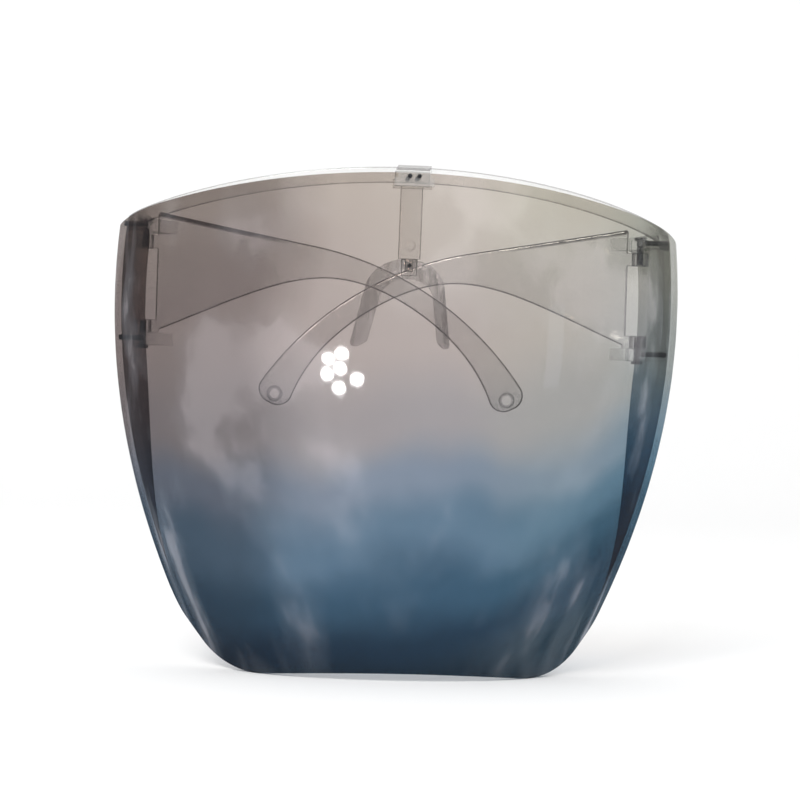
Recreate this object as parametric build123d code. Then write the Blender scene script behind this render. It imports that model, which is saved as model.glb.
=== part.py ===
from build123d import *
from math import cos, degrees, asin, radians, sin, sqrt
import os

# A full-face shield that is worn like a pair of glasses, with its temples folded.
# Millimetres, +Z up. The wearer looks along -Y, so +X is the wearer's left.
# The origin is on the nose: the middle of the nose pad's inner arch, at its top.

# Outlines and cuts that only need to run past the object use these.
BEYOND = 100.0
CUT_PAST = 1.0

# Visor: a shell whose plan sections are ellipses. They are largest at WIDEST_Z and
# shrink above and below it, which bows the side walls and the front.
WIDEST_Z = -7.0
HALF_WIDTH = 86.0
FRONT_REACH = 47.0
ELLIPSE_Y = 32.0
SIDE_BOW_RADIUS = 203.0
FRONT_BOW_RADIUS = 620.0
VISOR_WALL = 2.0
SECTION_LEVELS = (50, 20, -10, -40, -70, -100, -130)

# Outline of the visor as seen from the front.
TOP_Z = 27.1
TOP_ARCH_RADIUS = 290.0
SHOULDER_X = 74.0
SHOULDER_RADIUS = 42.0
SHOULDER_TURN = radians(20.0)
BOTTOM_Z = -115.6
CORNER_X = 39.5
CORNER_BOTTOM_Z = -117.8
CORNER_RADIUS = 21.5
CORNER_TURN = 50.0

# Rear edge of the visor as seen from the side.
REAR_Y = 49.0
REAR_TOP_CORNER_Z = 16.8
REAR_TOP_CORNER_RADIUS = 7.0
REAR_STRAIGHT_END_Z = -25.0
REAR_SWEEP_RADIUS = 135.0

# Brow bar, behind the visor's top edge.
GLUE_GAP = 0.1
BAR_THICK = 3.0
BAR_TOP_Z = 28.9
BAR_HEIGHT = 4.3
BAR_NOTCH = 0.55
BAR_ROUND = 0.4
BAR_ARCH_RADIUS = 262.0
BAR_END_Y = 30.5

# Centre clip, its two pins, and the stem behind it.
CLIP_WALL = 1.25
CLIP_FIT = 0.05
CLIP_HALF_WIDTH = 5.6
CLIP_LIP_TOP_Z = 25.6
CLIP_HEAD_HALF_WIDTH = 4.7
CLIP_BOTTOM_Z = 23.2
CLIP_TOP_Z = 29.0
CLIP_PIN_X = 1.35
CLIP_PIN_Z = 26.0
CLIP_PIN_RADIUS = 0.6
PIN_FIT = 0.03
STEM_THICK = 1.75
STEM_FRONT_Y = -7.5
STEM_SET_BACK = 2.2
STEM_HALF_WIDTH = 3.2
STEM_HEAD_HALF_WIDTH = 5.0
STEM_HEAD_BOTTOM_Z = 24.0
STEM_HEAD_TOP_Z = 28.2
STEM_SHOULDER_Z = 3.4
STEM_ROUND = 0.5
BUTTON_Z = 7.4
BUTTON_RADIUS = 2.6
BUTTON_PROUD = 0.6
TONGUE_HALF_WIDTH = 1.1
TONGUE_END_Z = -0.2

# Nose pad: a horseshoe band in a plane that leans back going down.
PAD_TILT = 40.0
PAD_DEPTH = 8.0
PAD_THICK = 2.1
PAD_LEG_SPLAY = 9.0
PAD_FRONT_RADIUS = 7.5
PAD_REAR_RADIUS = 10.0
PAD_FRONT_LEG = 17.0
PAD_REAR_LEG = 24.5
PAD_TIP_RADIUS = 2.0
PAD_ROUND = 0.8
SOCKET_HALF_WIDTH = 2.2
SOCKET_FRONT_Y = -7.2
SOCKET_BACK_Y = -2.4
SOCKET_BOTTOM_Z = -1.4
SOCKET_TOP_Z = 3.3
PAD_PIN_RADIUS = 0.55
PAD_PIN_Z = 1.4
PAD_PIN_PROUD = 0.3
PAD_PIN_SHORT = 0.1

# Hinges: a vertical axis on each side, through an upper and a lower lug.
HINGE_X = 78.5
HINGE_Y = 52.5
LUG_RADIUS = 3.0
UPPER_LUG = (12.4, 16.2)
LOWER_LUG = (-22.4, -18.6)
LUG_BAND_INSET = 8.5
LUG_NECK = 4.0
LUG_TEMPLE_GAP = 0.6
END_PIECE_INNER_X = 60.0
END_PIECE_FRONT_Y = 31.0
WEB_THICK = 1.6
WEB_END_Y = 43.0
KNUCKLE_RADIUS = 2.8
KNUCKLE_HEIGHT = 4.0
KNUCKLE_GAP = 0.3
HINGE_PIN_RADIUS = 1.0
HINGE_PIN_HEAD_RADIUS = 1.8
HINGE_PIN_HEAD = 0.9
HINGE_PIN_SHORT = 0.5
HINGE_FIT = 0.05
RIVET_RADIUS = 0.8
RIVET_Y = 38.5
RIVET_INNER_X = 77.2
UPPER_RIVET_Z = 14.3
LOWER_RIVET_Z = -20.5

# Temples: plates bowed in plan, drawn along u from the hinge axis.
TEMPLE_THICK = 2.4
TEMPLE_BOW_RADIUS = 450.0
TEMPLE_CHORD = 119.5
TEMPLE_START_U = 3.8
TEMPLE_FRONT_TOP_Z = 19.6
TEMPLE_FRONT_BOTTOM_Z = -17.8
TEMPLE_UPPER_BEND = (51.5, 11.2)
TEMPLE_UPPER_MIDDLE = (88.8, -2.5)
TEMPLE_OUTER_TIP = (122.7, -36.5)
TEMPLE_INNER_TIP = (111.8, -41.8)
TEMPLE_LOWER_CURVE = ((104, -25.5), (87.5, -9.8), (60.5, 0.7), (29.5, -6.4))
TEMPLE_PAST_CHORD = 8.0
TEMPLE_ROUND = 0.8
TEMPLE_TIP_CORNER_RADIUS = 4.6
LEFT_FOLD = 5.0
RIGHT_FOLD = 0.0
EYELET_U = 115.6
EYELET_Z = -36.2
EYELET_BORE = 1.55
EYELET_BARREL = 2.0
EYELET_FLANGE = 2.55
EYELET_FLANGE_THICK = 0.35
EYELET_CUT = 10.0


def bubble(inset):
    """The solid inside the visor's outer surface, moved inward by inset."""
    sections = []
    for z in SECTION_LEVELS:
        fall = (z - WIDEST_Z) ** 2 / 2
        across = HALF_WIDTH - fall / SIDE_BOW_RADIUS - inset
        along = FRONT_REACH - fall / FRONT_BOW_RADIUS - inset
        sections.append(Plane.XY.offset(z) * Pos(0, ELLIPSE_Y) * Ellipse(across, along))
    return loft(sections)


def block(x0, x1, y0, y1, z0, z1):
    """A box given by its limits."""
    centre = Pos((x0 + x1) / 2, (y0 + y1) / 2, (z0 + z1) / 2)
    return centre * Box(x1 - x0, y1 - y0, z1 - z0)


def rod_along_y(radius, x, z, y0, y1):
    return Pos(x, (y0 + y1) / 2, z) * Rot(90, 0, 0) * Cylinder(radius, y1 - y0)


def rod_along_x(radius, y, z, x0, x1):
    return Pos((x0 + x1) / 2, y, z) * Rot(0, 90, 0) * Cylinder(radius, x1 - x0)


def rod_up(radius, x, y, z0, z1):
    return Pos(x, y, (z0 + z1) / 2) * Cylinder(radius, z1 - z0)


def other_side(shape):
    """The same piece on the wearer's right."""
    return mirror(shape, about=Plane.YZ)


def through_y(face):
    """A front-view face, made into a solid that reaches through everything."""
    return extrude(Plane.XZ * face, amount=BEYOND, both=True)


def through_x(face):
    """A side-view face, made into a solid that reaches through everything."""
    return extrude(Plane.YZ * face, amount=BEYOND, both=True)


def arch_z(top_z, radius, x):
    """Height at x of an arch with this top and radius."""
    return top_z - radius + sqrt(radius**2 - x**2)


def visor_front_outline():
    shoulder_z = arch_z(TOP_Z, TOP_ARCH_RADIUS, SHOULDER_X)
    lean = asin(SHOULDER_X / TOP_ARCH_RADIUS)
    shoulder_end_x = SHOULDER_X + SHOULDER_RADIUS * (sin(lean + SHOULDER_TURN) - sin(lean))
    shoulder_end_z = shoulder_z - SHOULDER_RADIUS * (cos(lean) - cos(lean + SHOULDER_TURN))
    shoulder_mid_x = SHOULDER_X + SHOULDER_RADIUS * (sin(lean + SHOULDER_TURN / 2) - sin(lean))
    shoulder_mid_z = shoulder_z - SHOULDER_RADIUS * (cos(lean) - cos(lean + SHOULDER_TURN / 2))
    turn = radians(CORNER_TURN)
    centre_z = CORNER_BOTTOM_Z + CORNER_RADIUS
    half_turn = turn / 2
    corner_mid = (CORNER_X + CORNER_RADIUS * sin(half_turn), centre_z - CORNER_RADIUS * cos(half_turn))
    corner_end = (CORNER_X + CORNER_RADIUS * sin(turn), centre_z - CORNER_RADIUS * cos(turn))
    flare_z = corner_end[1] + (BEYOND - corner_end[0]) * sin(turn) / cos(turn)
    side = [
        ThreePointArc(
            (SHOULDER_X, shoulder_z),
            (shoulder_mid_x, shoulder_mid_z),
            (shoulder_end_x, shoulder_end_z),
        ),
        Line((shoulder_end_x, shoulder_end_z), (BEYOND, shoulder_end_z)),
        Line((BEYOND, shoulder_end_z), (BEYOND, flare_z)),
        Line((BEYOND, flare_z), corner_end),
        ThreePointArc(corner_end, corner_mid, (CORNER_X, CORNER_BOTTOM_Z)),
    ]
    edges = [
        ThreePointArc((-SHOULDER_X, shoulder_z), (0, TOP_Z), (SHOULDER_X, shoulder_z)),
        ThreePointArc((CORNER_X, CORNER_BOTTOM_Z), (0, BOTTOM_Z), (-CORNER_X, CORNER_BOTTOM_Z)),
    ]
    edges += side
    edges += [mirror(edge, about=Plane.YZ) for edge in side]
    return make_face(edges)


def visor_side_outline():
    front_y = -60.0
    above_z = 45.0
    below_z = -130.0
    corner_y = REAR_Y - REAR_TOP_CORNER_RADIUS
    corner_z = REAR_TOP_CORNER_Z - REAR_TOP_CORNER_RADIUS
    eighth = REAR_TOP_CORNER_RADIUS * sqrt(0.5)
    sweep_y = REAR_Y - REAR_SWEEP_RADIUS
    drop = REAR_STRAIGHT_END_Z - below_z
    sweep_end = (sweep_y + sqrt(REAR_SWEEP_RADIUS**2 - drop**2), below_z)
    half_drop = drop / 2
    sweep_mid = (sweep_y + sqrt(REAR_SWEEP_RADIUS**2 - half_drop**2), REAR_STRAIGHT_END_Z - half_drop)
    return make_face(
        [
            Line((front_y, below_z), (front_y, above_z)),
            Line((front_y, above_z), (corner_y, above_z)),
            Line((corner_y, above_z), (corner_y, REAR_TOP_CORNER_Z)),
            ThreePointArc(
                (corner_y, REAR_TOP_CORNER_Z),
                (corner_y + eighth, corner_z + eighth),
                (REAR_Y, corner_z),
            ),
            Line((REAR_Y, corner_z), (REAR_Y, REAR_STRAIGHT_END_Z)),
            ThreePointArc((REAR_Y, REAR_STRAIGHT_END_Z), sweep_mid, sweep_end),
            Line(sweep_end, (front_y, below_z)),
        ]
    )


def visor():
    shell = bubble(0) - bubble(VISOR_WALL)
    shell &= through_y(visor_front_outline())
    shell &= through_x(visor_side_outline())
    for x in (-CLIP_PIN_X, CLIP_PIN_X):
        shell -= rod_along_y(CLIP_PIN_RADIUS + PIN_FIT, x, CLIP_PIN_Z, -BEYOND, BEYOND)
    for z in (UPPER_RIVET_Z, LOWER_RIVET_Z):
        shell -= rod_along_x(RIVET_RADIUS + PIN_FIT, RIVET_Y, z, -BEYOND, BEYOND)
    return shell


def brow_bar():
    inset = VISOR_WALL + GLUE_GAP
    end_top_z = arch_z(BAR_TOP_Z, BAR_ARCH_RADIUS, BEYOND)
    left_top, right_top = (-BEYOND, end_top_z), (BEYOND, end_top_z)
    left_bottom, right_bottom = (-BEYOND, end_top_z - BAR_HEIGHT), (BEYOND, end_top_z - BAR_HEIGHT)
    band = make_face(
        [
            ThreePointArc(left_top, (0, BAR_TOP_Z), right_top),
            Line(right_top, right_bottom),
            ThreePointArc(right_bottom, (0, BAR_TOP_Z - BAR_HEIGHT), left_bottom),
            Line(left_bottom, left_top),
        ]
    )
    bar = (bubble(inset) - bubble(inset + BAR_THICK)) & through_y(band)
    bar &= block(-BEYOND, BEYOND, -BEYOND, BAR_END_Y, -BEYOND, BEYOND)
    bar = fillet([edge for edge in bar.edges() if edge.length > BEYOND], BAR_ROUND)
    notch = CLIP_HEAD_HALF_WIDTH + CLIP_FIT
    bar -= block(-notch, notch, -BEYOND, BAR_END_Y, BAR_TOP_Z - BAR_NOTCH, BEYOND)
    for x in (-CLIP_PIN_X, CLIP_PIN_X):
        bar -= rod_along_y(CLIP_PIN_RADIUS + PIN_FIT, x, CLIP_PIN_Z, -BEYOND, BEYOND)
    return bar


def centre_clip():
    """A saddle over the visor's top edge and the brow bar."""
    back = VISOR_WALL + GLUE_GAP + BAR_THICK
    bridge_z = BAR_TOP_Z - BAR_NOTCH + CLIP_FIT
    outside = bubble(-CLIP_WALL) - bubble(back + CLIP_FIT + CLIP_WALL)
    slot = bubble(-CLIP_FIT) - bubble(back + CLIP_FIT)
    slot &= block(-BEYOND, BEYOND, -BEYOND, 0, -BEYOND, bridge_z)
    head = block(-CLIP_HEAD_HALF_WIDTH, CLIP_HEAD_HALF_WIDTH, -BEYOND, 0, CLIP_BOTTOM_Z, CLIP_TOP_Z)
    lip = block(-CLIP_HALF_WIDTH, CLIP_HALF_WIDTH, -BEYOND, 0, CLIP_BOTTOM_Z, CLIP_LIP_TOP_Z)
    clip = outside & (head + lip)
    clip -= slot
    for x in (-CLIP_PIN_X, CLIP_PIN_X):
        clip -= rod_along_y(CLIP_PIN_RADIUS + PIN_FIT, x, CLIP_PIN_Z, -BEYOND, BEYOND)
    return clip


def clip_pin(x):
    front_y = ELLIPSE_Y - FRONT_REACH - CLIP_WALL / 2
    return rod_along_y(CLIP_PIN_RADIUS, x, CLIP_PIN_Z, front_y, STEM_FRONT_Y + STEM_THICK)


def stem_button():
    """A low round button near the foot of the stem, on its front."""
    down = (STEM_HEAD_BOTTOM_Z - BUTTON_Z) / (STEM_HEAD_BOTTOM_Z - STEM_SHOULDER_Z)
    face_y = STEM_FRONT_Y + STEM_SET_BACK * down
    ball = Pos(0, face_y + BUTTON_RADIUS - BUTTON_PROUD, BUTTON_Z) * Sphere(BUTTON_RADIUS)
    return ball & block(-BEYOND, BEYOND, -BEYOND, face_y + BUTTON_PROUD, -BEYOND, BEYOND)


def bridge_stem():
    """A T-shaped plate: a head behind the clip, a stem, and a tongue at its end."""
    back_y = STEM_FRONT_Y + STEM_THICK
    foot_front_y = STEM_FRONT_Y + STEM_SET_BACK
    foot_back_y = back_y + STEM_SET_BACK
    side = make_face(
        Polyline(
            (STEM_FRONT_Y, STEM_HEAD_TOP_Z),
            (back_y, STEM_HEAD_TOP_Z),
            (back_y, STEM_HEAD_BOTTOM_Z),
            (foot_back_y, STEM_SHOULDER_Z),
            (foot_back_y, TONGUE_END_Z),
            (foot_front_y, TONGUE_END_Z),
            (foot_front_y, STEM_SHOULDER_Z),
            (STEM_FRONT_Y, STEM_HEAD_BOTTOM_Z),
            close=True,
        )
    )
    front = make_face(
        Polyline(
            (-STEM_HEAD_HALF_WIDTH, STEM_HEAD_TOP_Z),
            (STEM_HEAD_HALF_WIDTH, STEM_HEAD_TOP_Z),
            (STEM_HEAD_HALF_WIDTH, STEM_HEAD_BOTTOM_Z),
            (STEM_HALF_WIDTH, STEM_HEAD_BOTTOM_Z),
            (STEM_HALF_WIDTH, STEM_SHOULDER_Z),
            (TONGUE_HALF_WIDTH, STEM_SHOULDER_Z),
            (TONGUE_HALF_WIDTH, TONGUE_END_Z),
            (-TONGUE_HALF_WIDTH, TONGUE_END_Z),
            (-TONGUE_HALF_WIDTH, STEM_SHOULDER_Z),
            (-STEM_HALF_WIDTH, STEM_SHOULDER_Z),
            (-STEM_HALF_WIDTH, STEM_HEAD_BOTTOM_Z),
            (-STEM_HEAD_HALF_WIDTH, STEM_HEAD_BOTTOM_Z),
            close=True,
        )
    )
    stem = through_x(side) & through_y(front)
    stem = fillet([edge for edge in stem.edges() if edge.bounding_box().size.Z > 3], STEM_ROUND)
    stem += stem_button()
    for x in (-CLIP_PIN_X, CLIP_PIN_X):
        stem -= rod_along_y(CLIP_PIN_RADIUS + PIN_FIT, x, CLIP_PIN_Z, -BEYOND, BEYOND)
    stem -= rod_along_y(PAD_PIN_RADIUS + PIN_FIT, 0, PAD_PIN_Z, -BEYOND, BEYOND)
    return stem


def leg_shoulder(radius):
    """Where a straight leg leaves the arch, in the pad's plane."""
    splay = radians(PAD_LEG_SPLAY)
    return radius * cos(splay), radius * sin(splay)


def leg_tip(radius, arch_radius, leg):
    """The end of a leg, measured down from the top of the inner arch."""
    splay = radians(PAD_LEG_SPLAY)
    across, rise = leg_shoulder(radius)
    return across + leg * sin(splay), rise - arch_radius - leg * cos(splay)


def horseshoe_face(radius, leg):
    """The horseshoe band in its own plane, its inner arch's top at the origin."""
    edges = []
    tips = []
    for r in (radius, radius + PAD_THICK):
        across, rise = leg_shoulder(r)
        shoulder = (across, rise - radius)
        opposite = (-across, rise - radius)
        tip = leg_tip(r, radius, leg)
        edges.append(Line(tip, shoulder))
        edges.append(ThreePointArc(shoulder, (0, r - radius), opposite))
        edges.append(Line(opposite, (-tip[0], tip[1])))
        tips.append(tip)
    inner, outer = tips
    edges.append(Line(inner, outer))
    edges.append(Line((-inner[0], inner[1]), (-outer[0], outer[1])))
    return make_face(edges)


def pad_side_outline():
    """The pad from the side, its leg tips rounded: depth, and distance up the leg."""
    half = PAD_DEPTH / 2
    above_arch = 20
    front_tip = leg_tip(PAD_FRONT_RADIUS, PAD_FRONT_RADIUS, PAD_FRONT_LEG)
    rear_tip = leg_tip(PAD_REAR_RADIUS, PAD_REAR_RADIUS, PAD_REAR_LEG)
    corners = [(-half, above_arch), (half, above_arch), (half, rear_tip[1]), (-half, front_tip[1])]
    face = make_face(Polyline(*corners, close=True))
    return fillet(face.vertices().sort_by(Axis.Y)[:2], PAD_TIP_RADIUS)


def nose_pad():
    tilt = radians(PAD_TILT)
    middle = Plane(origin=(0, 0, 0), x_dir=(1, 0, 0), z_dir=(0, -cos(tilt), -sin(tilt)))
    front = middle.offset(PAD_DEPTH / 2) * horseshoe_face(PAD_FRONT_RADIUS, PAD_FRONT_LEG)
    rear = middle.offset(-PAD_DEPTH / 2) * horseshoe_face(PAD_REAR_RADIUS, PAD_REAR_LEG)
    side = Plane(origin=(0, 0, 0), x_dir=(0, cos(tilt), sin(tilt)), z_dir=(1, 0, 0))
    pad = loft([front, rear], ruled=True)
    pad = fillet([edge for edge in pad.edges() if edge.length > PAD_DEPTH + 2], PAD_ROUND)
    pad &= extrude(side * pad_side_outline(), amount=BEYOND, both=True)
    socket = block(
        -SOCKET_HALF_WIDTH,
        SOCKET_HALF_WIDTH,
        SOCKET_FRONT_Y,
        SOCKET_BACK_Y,
        SOCKET_BOTTOM_Z,
        SOCKET_TOP_Z,
    )
    pad += socket
    foot_front_y = STEM_FRONT_Y + STEM_SET_BACK
    pad -= block(
        -TONGUE_HALF_WIDTH - CLIP_FIT,
        TONGUE_HALF_WIDTH + CLIP_FIT,
        foot_front_y - CLIP_FIT,
        foot_front_y + STEM_THICK + CLIP_FIT,
        TONGUE_END_Z - CLIP_FIT,
        SOCKET_TOP_Z + CUT_PAST,
    )
    pad -= rod_along_y(PAD_PIN_RADIUS + PIN_FIT, 0, PAD_PIN_Z, -BEYOND, SOCKET_BACK_Y)
    return pad


def nose_pad_pin():
    front_y = SOCKET_FRONT_Y - PAD_PIN_PROUD
    return rod_along_y(PAD_PIN_RADIUS, 0, PAD_PIN_Z, front_y, SOCKET_BACK_Y - PAD_PIN_SHORT)


def lug(levels):
    """One lug: a strip along the visor's wall, a neck, and a round end about the hinge axis."""
    z0, z1 = levels
    strip = block(END_PIECE_INNER_X, BEYOND, END_PIECE_FRONT_Y, REAR_Y, z0, z1) - bubble(LUG_BAND_INSET)
    neck = block(HINGE_X - LUG_NECK, BEYOND, REAR_Y - LUG_NECK, REAR_Y + GLUE_GAP, z0, z1)
    inside = (strip + neck) & bubble(VISOR_WALL + GLUE_GAP)
    before_temple_y = HINGE_Y - TEMPLE_THICK / 2 - LUG_TEMPLE_GAP
    behind = block(HINGE_X - LUG_NECK, HINGE_X, REAR_Y, before_temple_y, z0, z1)
    behind += block(HINGE_X - LUG_RADIUS, HINGE_X, REAR_Y, HINGE_Y, z0, z1)
    return inside + behind + rod_up(LUG_RADIUS, HINGE_X, HINGE_Y, z0, z1)


def left_end_piece():
    inset = VISOR_WALL + GLUE_GAP
    web = bubble(inset) - bubble(inset + WEB_THICK)
    web &= block(END_PIECE_INNER_X, BEYOND, END_PIECE_FRONT_Y, WEB_END_Y, LOWER_LUG[0], UPPER_LUG[1])
    piece = web + lug(UPPER_LUG) + lug(LOWER_LUG)
    piece -= rod_up(HINGE_PIN_RADIUS + PIN_FIT, HINGE_X, HINGE_Y, -BEYOND, BEYOND)
    for z in (UPPER_RIVET_Z, LOWER_RIVET_Z):
        piece -= rod_along_x(RIVET_RADIUS + PIN_FIT, RIVET_Y, z, RIVET_INNER_X - PIN_FIT, BEYOND)
    return piece


def left_rivet(z):
    """A pin through the visor's wall into a lug, flush with the visor."""
    return rod_along_x(RIVET_RADIUS, RIVET_Y, z, RIVET_INNER_X, BEYOND) & bubble(0)


def left_upper_hinge_pin():
    knuckle_bottom_z = UPPER_LUG[0] - KNUCKLE_GAP - KNUCKLE_HEIGHT
    shank_end_z = knuckle_bottom_z + HINGE_PIN_SHORT
    shank = rod_up(HINGE_PIN_RADIUS, HINGE_X, HINGE_Y, shank_end_z, UPPER_LUG[1])
    head = rod_up(HINGE_PIN_HEAD_RADIUS, HINGE_X, HINGE_Y, UPPER_LUG[1], UPPER_LUG[1] + HINGE_PIN_HEAD)
    return shank + head


def left_lower_hinge_pin():
    knuckle_top_z = LOWER_LUG[1] + KNUCKLE_GAP + KNUCKLE_HEIGHT
    shank_end_z = knuckle_top_z - HINGE_PIN_SHORT
    shank = rod_up(HINGE_PIN_RADIUS, HINGE_X, HINGE_Y, LOWER_LUG[0], shank_end_z)
    head = rod_up(HINGE_PIN_HEAD_RADIUS, HINGE_X, HINGE_Y, LOWER_LUG[0] - HINGE_PIN_HEAD, LOWER_LUG[0])
    return shank + head


def knuckle_levels():
    upper_top_z = UPPER_LUG[0] - KNUCKLE_GAP
    lower_bottom_z = LOWER_LUG[1] + KNUCKLE_GAP
    return (
        (upper_top_z - KNUCKLE_HEIGHT, upper_top_z),
        (lower_bottom_z, lower_bottom_z + KNUCKLE_HEIGHT),
    )


def temple_side_outline():
    """The temple seen from the side: u along it from the hinge axis, and z."""
    front_top = (TEMPLE_START_U, TEMPLE_FRONT_TOP_Z)
    front_bottom = (TEMPLE_START_U, TEMPLE_FRONT_BOTTOM_Z)
    face = make_face(
        [
            Line(front_top, TEMPLE_UPPER_BEND),
            ThreePointArc(TEMPLE_UPPER_BEND, TEMPLE_UPPER_MIDDLE, TEMPLE_OUTER_TIP),
            Line(TEMPLE_OUTER_TIP, TEMPLE_INNER_TIP),
            Spline(TEMPLE_INNER_TIP, *TEMPLE_LOWER_CURVE, front_bottom),
            Line(front_bottom, front_top),
        ]
    )
    tips = face.vertices().sort_by(Axis.X)[-2:]
    return fillet(tips, TEMPLE_TIP_CORNER_RADIUS)


def temple_plan():
    """The temple seen from above: a band bowed away from the face shield."""
    half = TEMPLE_CHORD / 2
    centre_y = -sqrt(TEMPLE_BOW_RADIUS**2 - half**2)

    def bow(radius, u):
        return (u, centre_y + sqrt(radius**2 - (u - half) ** 2))

    near, far = TEMPLE_BOW_RADIUS - TEMPLE_THICK / 2, TEMPLE_BOW_RADIUS + TEMPLE_THICK / 2
    last_u = TEMPLE_CHORD + TEMPLE_PAST_CHORD
    return make_face(
        [
            ThreePointArc(bow(near, 0), bow(near, half), bow(near, last_u)),
            Line(bow(near, last_u), bow(far, last_u)),
            ThreePointArc(bow(far, last_u), bow(far, half), bow(far, 0)),
            Line(bow(far, 0), bow(near, 0)),
        ]
    )


def at_eyelet():
    """Where the eyelet sits on a temple, its own Z along the hole."""
    half = TEMPLE_CHORD / 2
    y = sqrt(TEMPLE_BOW_RADIUS**2 - (EYELET_U - half) ** 2) - sqrt(TEMPLE_BOW_RADIUS**2 - half**2)
    slope = degrees(asin((EYELET_U - half) / TEMPLE_BOW_RADIUS))
    return Pos(EYELET_U, y, EYELET_Z) * Rot(0, 0, -slope) * Rot(90, 0, 0)


def temple():
    """A temple along +X from its hinge axis at the origin."""
    plate = extrude(temple_plan(), amount=BEYOND, both=True)
    side = through_y(temple_side_outline())
    blade = plate & side
    piece = fillet(blade.edges(), TEMPLE_ROUND)
    for z0, z1 in knuckle_levels():
        piece += plate & block(0, TEMPLE_START_U + CUT_PAST, -BEYOND, BEYOND, z0, z1)
    for z0, z1 in knuckle_levels():
        piece += rod_up(KNUCKLE_RADIUS, 0, 0, z0, z1)
        piece -= rod_up(HINGE_PIN_RADIUS + HINGE_FIT, 0, 0, z0 - CUT_PAST, z1 + CUT_PAST)
    piece -= at_eyelet() * Cylinder(EYELET_BARREL + PIN_FIT, EYELET_CUT)
    return piece


def eyelet():
    """The ring in a temple's tip, with a thin flange on each face."""
    reach = TEMPLE_THICK / 2 + CLIP_FIT
    ring = Cylinder(EYELET_BARREL, 2 * (reach + EYELET_FLANGE_THICK))
    for side in (-1, 1):
        flange_z = side * (reach + EYELET_FLANGE_THICK / 2)
        ring += Pos(0, 0, flange_z) * Cylinder(EYELET_FLANGE, EYELET_FLANGE_THICK)
    ring -= Cylinder(EYELET_BORE, EYELET_CUT)
    return at_eyelet() * ring


def folded_left(piece):
    return Pos(HINGE_X, HINGE_Y, 0) * Rot(0, 0, -LEFT_FOLD) * other_side(piece)


def folded_right(piece):
    return Pos(-HINGE_X, HINGE_Y, 0) * Rot(0, 0, RIGHT_FOLD) * piece


parts = {
    "visor": visor(),
    "brow_bar": brow_bar(),
    "centre_clip": centre_clip(),
    "clip_pin_left": clip_pin(CLIP_PIN_X),
    "clip_pin_right": clip_pin(-CLIP_PIN_X),
    "bridge_stem": bridge_stem(),
    "nose_pad": nose_pad(),
    "nose_pad_pin": nose_pad_pin(),
    "left_end_piece": left_end_piece(),
    "right_end_piece": other_side(left_end_piece()),
    "left_upper_rivet": left_rivet(UPPER_RIVET_Z),
    "left_lower_rivet": left_rivet(LOWER_RIVET_Z),
    "right_upper_rivet": other_side(left_rivet(UPPER_RIVET_Z)),
    "right_lower_rivet": other_side(left_rivet(LOWER_RIVET_Z)),
    "left_upper_hinge_pin": left_upper_hinge_pin(),
    "left_lower_hinge_pin": left_lower_hinge_pin(),
    "right_upper_hinge_pin": other_side(left_upper_hinge_pin()),
    "right_lower_hinge_pin": other_side(left_lower_hinge_pin()),
    "left_temple": folded_left(temple()),
    "right_temple": folded_right(temple()),
    "left_tip_eyelet": folded_left(eyelet()),
    "right_tip_eyelet": folded_right(eyelet()),
}

os.makedirs("parts", exist_ok=True)
for name, shape in parts.items():
    export_step(shape, f"parts/{name}.step")
    print(name, len(shape.solids()), round(shape.volume, 1))
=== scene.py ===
import bpy
from math import cos, radians, sin, sqrt
from mathutils import Matrix, Vector


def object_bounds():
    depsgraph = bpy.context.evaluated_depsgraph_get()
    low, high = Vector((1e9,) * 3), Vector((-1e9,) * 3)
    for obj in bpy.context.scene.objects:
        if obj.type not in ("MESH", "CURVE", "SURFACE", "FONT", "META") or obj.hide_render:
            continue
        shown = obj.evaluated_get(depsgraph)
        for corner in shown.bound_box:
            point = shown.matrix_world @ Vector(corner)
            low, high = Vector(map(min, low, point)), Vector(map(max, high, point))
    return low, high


# The looks of a face shield worn like glasses. Metres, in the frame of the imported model:
# the origin is on the nose, the wearer looks along -Y, +X is the wearer's left.

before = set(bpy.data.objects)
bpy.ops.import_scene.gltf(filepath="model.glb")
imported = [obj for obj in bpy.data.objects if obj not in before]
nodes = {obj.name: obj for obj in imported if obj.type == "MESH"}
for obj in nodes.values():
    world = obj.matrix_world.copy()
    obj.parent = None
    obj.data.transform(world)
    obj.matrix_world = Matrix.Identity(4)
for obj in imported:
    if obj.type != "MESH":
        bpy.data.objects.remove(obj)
cad_low, cad_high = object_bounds()


# ---------------------------------------------------------------- node helpers

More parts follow.
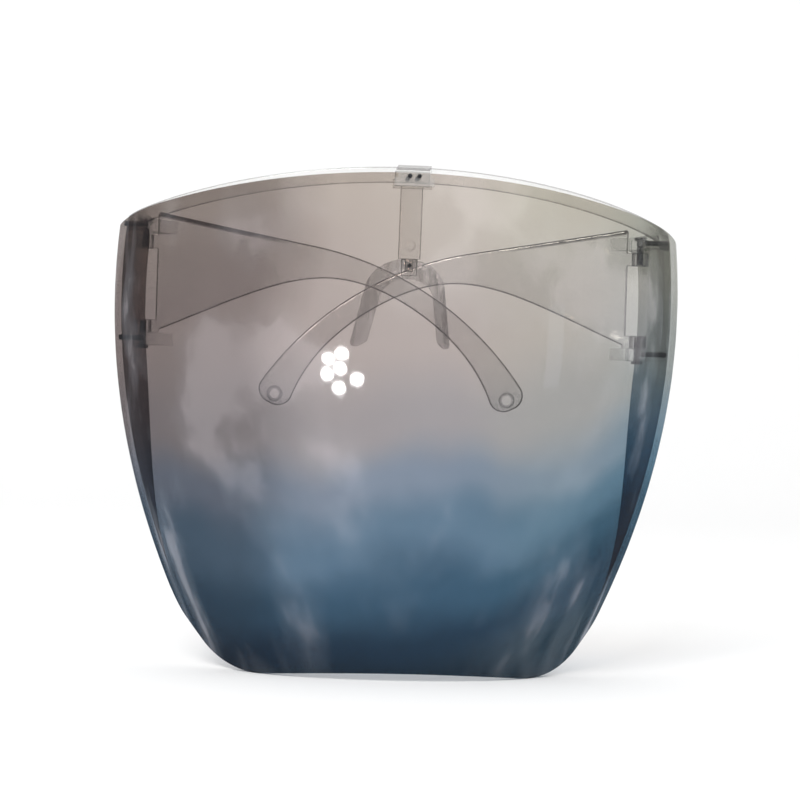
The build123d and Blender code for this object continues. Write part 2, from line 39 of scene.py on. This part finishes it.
class Graph:
    """The node tree of a material or world, with short calls for the nodes used here."""

    def __init__(self, owner, output_kind):
        self.owner = owner
        owner.use_nodes = True
        self.nodes = owner.node_tree.nodes
        self.links = owner.node_tree.links
        self.nodes.clear()
        self.output = self.nodes.new(output_kind)

    def node(self, kind, **settings):
        made = self.nodes.new(kind)
        for key, value in settings.items():
            setattr(made, key, value)
        return made

    def put(self, value, socket):
        """Give a socket a number, or link it to another node's output."""
        if isinstance(value, (int, float)):
            socket.default_value = value
        else:
            self.links.new(value, socket)

    def position(self):
        return self.node("ShaderNodeTexCoord").outputs["Object"]

    def axes(self, vector):
        made = self.node("ShaderNodeSeparateXYZ")
        self.put(vector, made.inputs[0])
        return made.outputs

    def stretched(self, vector, scale):
        made = self.node("ShaderNodeMapping")
        made.inputs["Scale"].default_value = scale
        self.put(vector, made.inputs["Vector"])
        return made.outputs["Vector"]

    def maths(self, operation, *values):
        made = self.node("ShaderNodeMath", operation=operation)
        for slot, value in enumerate(values):
            self.put(value, made.inputs[slot])
        return made.outputs[0]

    def noise(self, vector, scale, detail):
        made = self.node("ShaderNodeTexNoise")
        made.inputs["Scale"].default_value = scale
        made.inputs["Detail"].default_value = detail
        made.inputs["Roughness"].default_value = 0.5
        self.put(vector, made.inputs["Vector"])
        return made.outputs["Fac"]

    def drift(self, vector, scale, width):
        """Soft noise that wanders about zero, over a range of the given width."""
        return self.maths("MULTIPLY", self.maths("SUBTRACT", self.noise(vector, scale, 2.0), 0.5), width)

    def ramp(self, factor, stops, interpolation="EASE"):
        made = self.node("ShaderNodeValToRGB")
        made.color_ramp.interpolation = interpolation
        elements = made.color_ramp.elements
        elements.remove(elements[1])
        elements[0].position = stops[0][0]
        elements[0].color = (*stops[0][1], 1.0)
        for place, colour in stops[1:]:
            elements.new(place).color = (*colour, 1.0)
        self.put(factor, made.inputs["Fac"])
        return made.outputs["Color"]

    def spread(self, value, low, high, new_low=0.0, new_high=1.0):
        """Carry the range low to high over to the range new_low to new_high, held at its ends."""
        made = self.node("ShaderNodeMapRange")
        made.inputs["From Min"].default_value = low
        made.inputs["From Max"].default_value = high
        made.inputs["To Min"].default_value = new_low
        made.inputs["To Max"].default_value = new_high
        self.put(value, made.inputs["Value"])
        return made.outputs["Result"]

    def turned_away(self, low, high):
        """0 on faces seen straight on, 1 on faces seen edge on."""
        made = self.node("ShaderNodeLayerWeight")
        made.inputs["Blend"].default_value = 0.5
        return self.spread(made.outputs["Facing"], low, high)

    def bump(self, height, strength, distance):
        made = self.node("ShaderNodeBump")
        made.inputs["Strength"].default_value = strength
        made.inputs["Distance"].default_value = distance
        self.put(height, made.inputs["Height"])
        return made.outputs["Normal"]

    def see_through(self, colour):
        made = self.node("ShaderNodeBsdfTransparent")
        self.put(colour, made.inputs["Color"])
        return made.outputs[0]

    def mix_shader(self, factor, first, second):
        made = self.node("ShaderNodeMixShader")
        self.put(factor, made.inputs[0])
        self.put(first, made.inputs[1])
        self.put(second, made.inputs[2])
        return made.outputs[0]

    def finish(self, shader):
        self.put(shader, self.output.inputs["Surface"])
        return self.owner


def material_graph(name):
    return Graph(bpy.data.materials.new(name), "ShaderNodeOutputMaterial")


def srgb(red, green, blue):
    """A colour given as 0 to 255 screen values, none of them near black, as linear light."""
    return tuple(((value / 255 + 0.055) / 1.055) ** 2.4 for value in (red, green, blue))


def one_face(colour):
    """The share that each face of a wall lets through, when the wall lets through colour."""
    return tuple(sqrt(c) for c in colour)


def wall_stops(stops):
    """Ramp stops for one face of a wall, from the screen colours of the whole wall."""
    return [(place, one_face(srgb(*colour))) for place, colour in stops]


# ---------------------------------------------------------------- materials

def glossy_front(graph, ior, gain, most, roughness, normal):
    """Reflection for the faces towards the viewer, so that a wall's far face adds none."""
    gloss = graph.node("ShaderNodeBsdfGlossy")
    gloss.inputs["Color"].default_value = (1.0, 1.0, 1.0, 1.0)
    graph.put(roughness, gloss.inputs["Roughness"])
    graph.put(normal, gloss.inputs["Normal"])
    fresnel = graph.node("ShaderNodeFresnel")
    fresnel.inputs["IOR"].default_value = ior
    graph.put(normal, fresnel.inputs["Normal"])
    back = graph.node("ShaderNodeNewGeometry").outputs["Backfacing"]
    share = graph.maths("MINIMUM", graph.maths("MULTIPLY", fresnel.outputs[0], gain), most)
    share = graph.maths("MULTIPLY", share, graph.maths("SUBTRACT", 1.0, back))
    return share, gloss.outputs[0]


def visor_dye(graph, place):
    """Deep blue fading upwards to nearly clear, with an uneven edge, higher on the wearer's left."""
    darkest_z, clearest_z = -0.118, 0.027
    rise_from_x, rise_to_x, rise = 0.028, 0.080, 0.024
    unevenness = 0.045
    x, _, z = graph.axes(place)
    lower = graph.maths("MULTIPLY", graph.spread(x, rise_from_x, rise_to_x), -rise)
    height = graph.maths("ADD", graph.maths("ADD", z, graph.drift(place, 16.0, unevenness)), lower)
    colours = wall_stops(
        [
            (0.00, (44, 66, 82)),
            (0.08, (40, 66, 88)),
            (0.18, (60, 92, 116)),
            (0.28, (96, 126, 150)),
            (0.38, (134, 150, 168)),
            (0.50, (170, 168, 170)),
            (0.70, (190, 182, 178)),
            (1.00, (204, 197, 187)),
        ]
    )
    return graph.ramp(graph.spread(height, darkest_z, clearest_z), colours)


def visor_painted_shade(graph, place):
    """Painted shade: a grey darkening over the wearer's right side, with an uneven edge."""
    right_x, left_x = -0.085, 0.090
    unevenness = 0.030
    x, _, _ = graph.axes(place)
    across = graph.maths("ADD", x, graph.drift(place, 24.0, unevenness))
    colours = wall_stops(
        [
            (0.00, (176, 168, 168)),
            (0.20, (184, 176, 176)),
            (0.36, (244, 238, 238)),
            (0.52, (250, 246, 246)),
            (0.75, (250, 252, 246)),
            (1.00, (240, 252, 246)),
        ]
    )
    return graph.ramp(graph.spread(across, right_x, left_x), colours)


def visor_material():
    """Polycarbonate, nearly clear at the top and dyed deep blue at the bottom, with painted shade over
    the wearer's right side.
    """
    graph = material_graph("visor_tint")
    place = graph.position()
    blend = graph.node("ShaderNodeMix", data_type="RGBA", blend_type="MULTIPLY")
    blend.inputs[0].default_value = 1.0
    graph.put(visor_dye(graph, place), blend.inputs[6])
    # Painted shade over the wearer's right side darkens the dye.
    graph.put(visor_painted_shade(graph, place), blend.inputs[7])
    clear = graph.see_through(blend.outputs[2])
    ripple = graph.bump(graph.noise(place, 22.0, 2.0), strength=0.10, distance=0.0012)
    share, gloss = glossy_front(graph, ior=1.58, gain=1.8, most=0.22, roughness=0.04, normal=ripple)
    return graph.finish(graph.mix_shader(share, clear, gloss))


def clear_material(graph, turned, tint, painted_rim_shade, gain, wave_scale, wave_depth, milk):
    """Clear plastic of colour tint, with painted shade of a darker rim colour where turned is 1,
    standing in for the dark rims that bent light gives clear plastic, and with a wavy polished skin.
    """
    # Painted shade: the see-through colour darkens towards the rim colour where turned is 1.
    clear = graph.see_through(graph.ramp(turned, [(0.0, one_face(tint)), (1.0, one_face(painted_rim_shade))]))
    haze = graph.node("ShaderNodeBsdfDiffuse")
    haze.inputs["Color"].default_value = (0.95, 0.95, 0.95, 1.0)
    inside = graph.mix_shader(milk, clear, haze.outputs[0])
    waves = graph.noise(graph.position(), wave_scale, 3.0)
    polish = graph.spread(waves, 0.3, 0.7, 0.04, 0.09)
    skin = graph.bump(waves, strength=0.35, distance=wave_depth)
    share, gloss = glossy_front(graph, ior=1.5, gain=gain, most=0.4, roughness=polish, normal=skin)
    return graph.finish(graph.mix_shader(share, inside, gloss))


def block_material(name, tint, painted_rim_shade, rim_at, milk):
    """Clear moulded plastic with painted shade where it turns away."""
    graph = material_graph(name)
    return clear_material(
        graph,
        graph.turned_away(*rim_at),
        tint,
        painted_rim_shade,
        gain=2.0,
        wave_scale=60.0,
        wave_depth=0.0004,
        milk=milk,
    )


def clip_material():
    # The second colour is painted shade on the edges that turn away.
    tint, painted_rim_shade = (0.98, 0.98, 0.97), (0.40, 0.39, 0.38)
    return block_material("clear_clip", tint, painted_rim_shade, rim_at=(0.02, 0.40), milk=0.08)


def bar_material():
    # The second colour is painted shade on the edges that turn away.
    tint, painted_rim_shade = (0.96, 0.96, 0.95), (0.42, 0.41, 0.40)
    return block_material("clear_bar", tint, painted_rim_shade, rim_at=(0.30, 0.95), milk=0.06)


def end_piece_material():
    # The second colour is painted shade on the edges that turn away.
    tint, painted_rim_shade = (0.99, 0.99, 0.99), (0.72, 0.73, 0.73)
    return block_material("clear_hinge_block", tint, painted_rim_shade, rim_at=(0.50, 0.95), milk=0.03)


def pad_material():
    """Soft clear silicone: milky streaks along it, painted to stand in for highlights, and painted shade
    where it turns away.
    """
    graph = material_graph("clear_silicone")
    # Painted highlights: milky streaks stretched along the pad.
    painted_highlight_streaks = graph.noise(graph.stretched(graph.position(), (420.0, 45.0, 45.0)), 1.0, 2.0)
    return clear_material(
        graph,
        graph.turned_away(0.72, 1.0),
        tint=(0.98, 0.98, 0.98),
        painted_rim_shade=(0.10, 0.10, 0.10),
        gain=6.0,
        wave_scale=160.0,
        wave_depth=0.0040,
        milk=graph.spread(painted_highlight_streaks, 0.48, 0.66, 0.0, 0.20),
    )


def plate_edges(graph):
    """1 on the rounded edges of a plate that faces front, 0 on its flat faces: the mask for painted
    shade on the edges.
    """
    _, y, _ = graph.axes(graph.node("ShaderNodeTexCoord").outputs["Normal"])
    return graph.spread(graph.maths("ABSOLUTE", y), 0.95, 0.60)


def eyelet_material():
    """A clear ring with painted shade on its edges."""
    graph = material_graph("eyelet")
    return clear_material(
        graph,
        plate_edges(graph),
        tint=(0.90, 0.90, 0.91),
        painted_rim_shade=(0.14, 0.14, 0.15),
        gain=4.0,
        wave_scale=30.0,
        wave_depth=0.0008,
        milk=0.03,
    )


def temple_top_painted_shade(graph):
    """1 along a temple's top edge near its hinge, where a thick band of painted shade goes."""
    top_z_in_middle, top_slope = 0.00645, 0.176
    rim_begins, rim_full = -0.0017, -0.0008
    x, _, z = graph.axes(graph.position())
    from_middle = graph.maths("ABSOLUTE", x)
    top = graph.maths("ADD", graph.maths("MULTIPLY", from_middle, top_slope), top_z_in_middle)
    rim = graph.spread(graph.maths("SUBTRACT", z, top), rim_begins, rim_full)
    near_hinge = graph.spread(from_middle, 0.030, 0.048)
    return graph.maths("MULTIPLY", rim, near_hinge)


def temple_material():
    """A clear temple with painted shade along its edges, and a thick band of painted shade on top near
    the hinge.
    """
    graph = material_graph("clear_temple")
    return clear_material(
        graph,
        graph.maths("MAXIMUM", plate_edges(graph), temple_top_painted_shade(graph)),
        tint=(0.98, 0.98, 0.98),
        painted_rim_shade=(0.17, 0.16, 0.16),
        gain=4.5,
        wave_scale=70.0,
        wave_depth=0.0042,
        milk=0.01,
    )


def pin_material(name, colour, metallic):
    """Small pins and rivets: smooth, with a fine uneven surface."""
    graph = material_graph(name)
    grain = graph.noise(graph.position(), 900.0, 3.0)
    lighter = tuple(1.8 * c for c in colour)
    shader = graph.node("ShaderNodeBsdfPrincipled")
    shader.inputs["Metallic"].default_value = metallic
    graph.put(graph.ramp(grain, [(0.3, colour), (0.7, lighter)]), shader.inputs["Base Color"])
    graph.put(graph.spread(grain, 0.3, 0.7, 0.21, 0.39), shader.inputs["Roughness"])
    graph.put(graph.bump(grain, strength=0.25, distance=0.00005), shader.inputs["Normal"])
    return graph.finish(shader.outputs[0])


def dress(name, material):
    for slot in nodes[name].material_slots:
        slot.material = material


def dress_all():
    """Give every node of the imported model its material."""
    clip = clip_material()
    end_piece = end_piece_material()
    temple = temple_material()
    eyelet = eyelet_material()
    rivet = pin_material("rivet", (0.02, 0.022, 0.025), metallic=0.0)
    dark_pin = pin_material("dark_pin", (0.012, 0.013, 0.015), metallic=0.0)
    hinge_pin = pin_material("hinge_pin", (0.50, 0.50, 0.51), metallic=1.0)
    dress("visor", visor_material())
    dress("brow_bar", bar_material())
    dress("centre_clip", clip)
    dress("bridge_stem", clip)
    dress("nose_pad", pad_material())
    dress("nose_pad_pin", dark_pin)
    for side in ("left", "right"):
        dress(f"clip_pin_{side}", dark_pin)
        dress(f"{side}_end_piece", end_piece)
        dress(f"{side}_temple", temple)
        dress(f"{side}_tip_eyelet", eyelet)
        for level in ("upper", "lower"):
            dress(f"{side}_{level}_rivet", rivet)
            dress(f"{side}_{level}_hinge_pin", hinge_pin)


# ---------------------------------------------------------------- stage

def backdrop_material():
    graph = material_graph("backdrop_white")
    shader = graph.node("ShaderNodeBsdfPrincipled")
    shader.inputs["Base Color"].default_value = (0.92, 0.92, 0.92, 1.0)
    shader.inputs["Roughness"].default_value = 0.9
    shader.inputs["Specular IOR Level"].default_value = 0.1
    return graph.finish(shader.outputs[0])


def ground(z):
    """A white floor that curves up into a backdrop behind the object, and shows in no reflection."""
    half_width, front, back, tall, bend, bend_steps = 3.0, -2.5, 1.6, 2.6, 0.8, 12
    rows = [(front, z)]
    for step in range(bend_steps + 1):
        turn = radians(90 * step / bend_steps)
        rows.append((back - bend + bend * sin(turn), z + bend - bend * cos(turn)))
    rows.append((back, z + tall))
    vertices = [(x, y, height) for y, height in rows for x in (-half_width, half_width)]
    faces = [(2 * i, 2 * i + 1, 2 * i + 3, 2 * i + 2) for i in range(len(rows) - 1)]
    mesh = bpy.data.meshes.new("backdrop")
    mesh.from_pydata(vertices, [], faces)
    mesh.polygons.foreach_set("use_smooth", [True] * len(faces))
    mesh.materials.append(backdrop_material())
    floor = bpy.data.objects.new("backdrop", mesh)
    bpy.context.collection.objects.link(floor)
    floor.visible_glossy = False


def studio_world():
    """White light all round, and a dim room with brighter patches, seen only in reflections."""
    world = Graph(bpy.data.worlds.new("studio"), "ShaderNodeOutputWorld")
    sky = world.node("ShaderNodeBackground")
    sky.inputs["Color"].default_value = (1.0, 1.0, 1.0, 1.0)
    direction = world.node("ShaderNodeTexCoord").outputs["Generated"]
    x, y, z = world.axes(direction)
    # A bright stretch of the room in front and to the right of the wearer, just below eye level.
    right = world.spread(x, -0.08, -0.28)
    front = world.spread(y, -0.20, -0.45)
    low_edge = world.spread(z, -0.30, -0.18)
    high_edge = world.spread(z, 0.06, -0.04)
    stretch = right
    for limit in (front, low_edge, high_edge):
        stretch = world.maths("MULTIPLY", stretch, limit)
    patches = world.noise(world.stretched(direction, (1.0, 1.0, 3.0)), 1.5, 5.0)
    level = world.maths("ADD", patches, world.maths("MULTIPLY", stretch, 0.16))
    tones = [(0.48, (0.10, 0.10, 0.11)), (0.58, (0.38, 0.40, 0.44)), (0.64, (1.15, 1.12, 1.20))]
    room = world.node("ShaderNodeBackground")
    world.put(world.ramp(level, tones, "LINEAR"), room.inputs["Color"])
    reflected = world.node("ShaderNodeLightPath").outputs["Is Glossy Ray"]
    bpy.context.scene.world = world.finish(world.mix_shader(reflected, sky.outputs[0], room.outputs[0]))


def area_lamp(name, place, target, size, power, colour=(1.0, 1.0, 1.0), shape="RECTANGLE"):
    light = bpy.data.lights.new(name, "AREA")
    light.shape = shape
    light.size, light.size_y = size
    light.energy = power
    light.color = colour
    lamp = bpy.data.objects.new(name, light)
    bpy.context.collection.objects.link(lamp)
    lamp.location = place
    lamp.rotation_euler = (Vector(target) - Vector(place)).to_track_quat("-Z", "Y").to_euler()


def lamp_cluster():
    """Six small round lamps beside the camera, seen as bright spots in the visor."""
    centre = Vector((-0.135, -0.530, -0.061))
    size = (0.036, 0.0135)
    power = 0.022
    offsets = (
        (0.010, 0.017),
        (-0.026, 0.010),
        (0.006, 0.001),
        (-0.030, -0.007),
        (0.050, -0.009),
        (0.002, -0.020),
    )
    for number, (x, z) in enumerate(offsets):
        place = centre + Vector((x, 0.0, z))
        area_lamp(f"small_lamp_{number}", place, (0, 0, -0.03), size, power, shape="ELLIPSE")


# ---------------------------------------------------------------- camera

def photo_camera():
    """The photograph is taken from about 0.6 m, with the object turned a few degrees."""
    hinge_plane_y = 0.047
    distance = 0.600
    turn = radians(4.4)
    roll = radians(1.8)
    aim = Vector((0.0026, hinge_plane_y, -0.0371))
    data = bpy.data.cameras.new("photo_camera")
    data.sensor_width = 36.0
    data.lens = 86.0
    camera = bpy.data.objects.new("photo_camera", data)
    bpy.context.collection.objects.link(camera)
    place = aim + distance * Vector((-sin(turn), -cos(turn), 0.0))
    facing = (aim - place).to_track_quat("-Z", "Y").to_matrix().to_4x4()
    camera.matrix_world = Matrix.Translation(place) @ facing @ Matrix.Rotation(roll, 4, "Z")
    return camera


# ---------------------------------------------------------------- the scene

MIDDLE = (0, 0, -0.04)
WINDOW_BLUE = (0.75, 0.85, 1.0)

dress_all()
ground(cad_low[2])
studio_world()
area_lamp("key_softbox", (-0.5, -0.9, 0.9), MIDDLE, size=(0.7, 0.5), power=9.0)
area_lamp("side_window", (0.75, -0.75, -0.04), MIDDLE, size=(0.10, 0.16), power=0.02, colour=WINDOW_BLUE)
lamp_cluster()

bpy.context.scene.camera = photo_camera()
bpy.context.scene.view_settings.view_transform = "Standard"
bpy.context.scene.cycles.transparent_max_bounces = 64
